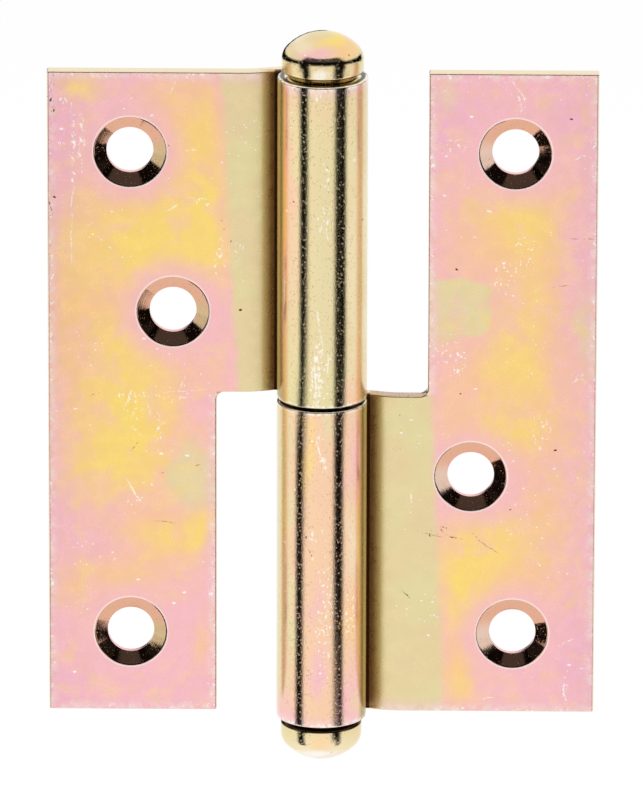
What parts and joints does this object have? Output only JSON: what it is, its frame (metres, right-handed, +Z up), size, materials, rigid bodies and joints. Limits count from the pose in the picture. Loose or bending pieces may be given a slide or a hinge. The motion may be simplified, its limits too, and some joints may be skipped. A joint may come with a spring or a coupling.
{
  "type": "lift-off hinge",
  "caption": "Rolled sheet-steel lift-off hinge, open flat: two notched leaves with countersunk screw holes, knuckles one above the other on a headed pin, domed plug on top.",
  "frame": {"origin": "on the pin's axis, midway between the ends of the leaves", "axes": "+Z up along the pin, the way the door leaf lifts off; +X towards the frame leaf's outer edge; -Y is the countersunk side of the leaves"},
  "size_m": [0.082, 0.0134, 0.1134],
  "materials": {
    "leaf_steel": "bright zinc plating with an iridescent yellow passivation, on sheet steel",
    "pin_steel": "bright zinc plating with an iridescent yellow passivation, on turned steel"
  },
  "bodies": {
    "frame_side": {"frame_leaf": "leaf_steel", "hinge_pin": "pin_steel"},
    "lifted_plug": {"top_plug": "pin_steel"},
    "door_side": {"door_leaf": "leaf_steel"}
  },
  "joints": [
    {"name": "lift_off", "type": "slide", "parent": "frame_side", "child": "lifted_plug", "axis": [0, 0, 1], "range_m": [0, 0.045]},
    {"name": "swing", "type": "hinge", "parent": "lifted_plug", "child": "door_side", "pos_m": [0, 0, 0], "axis": [0, 0, 1], "range_deg": [-150, 180]}
  ]
}
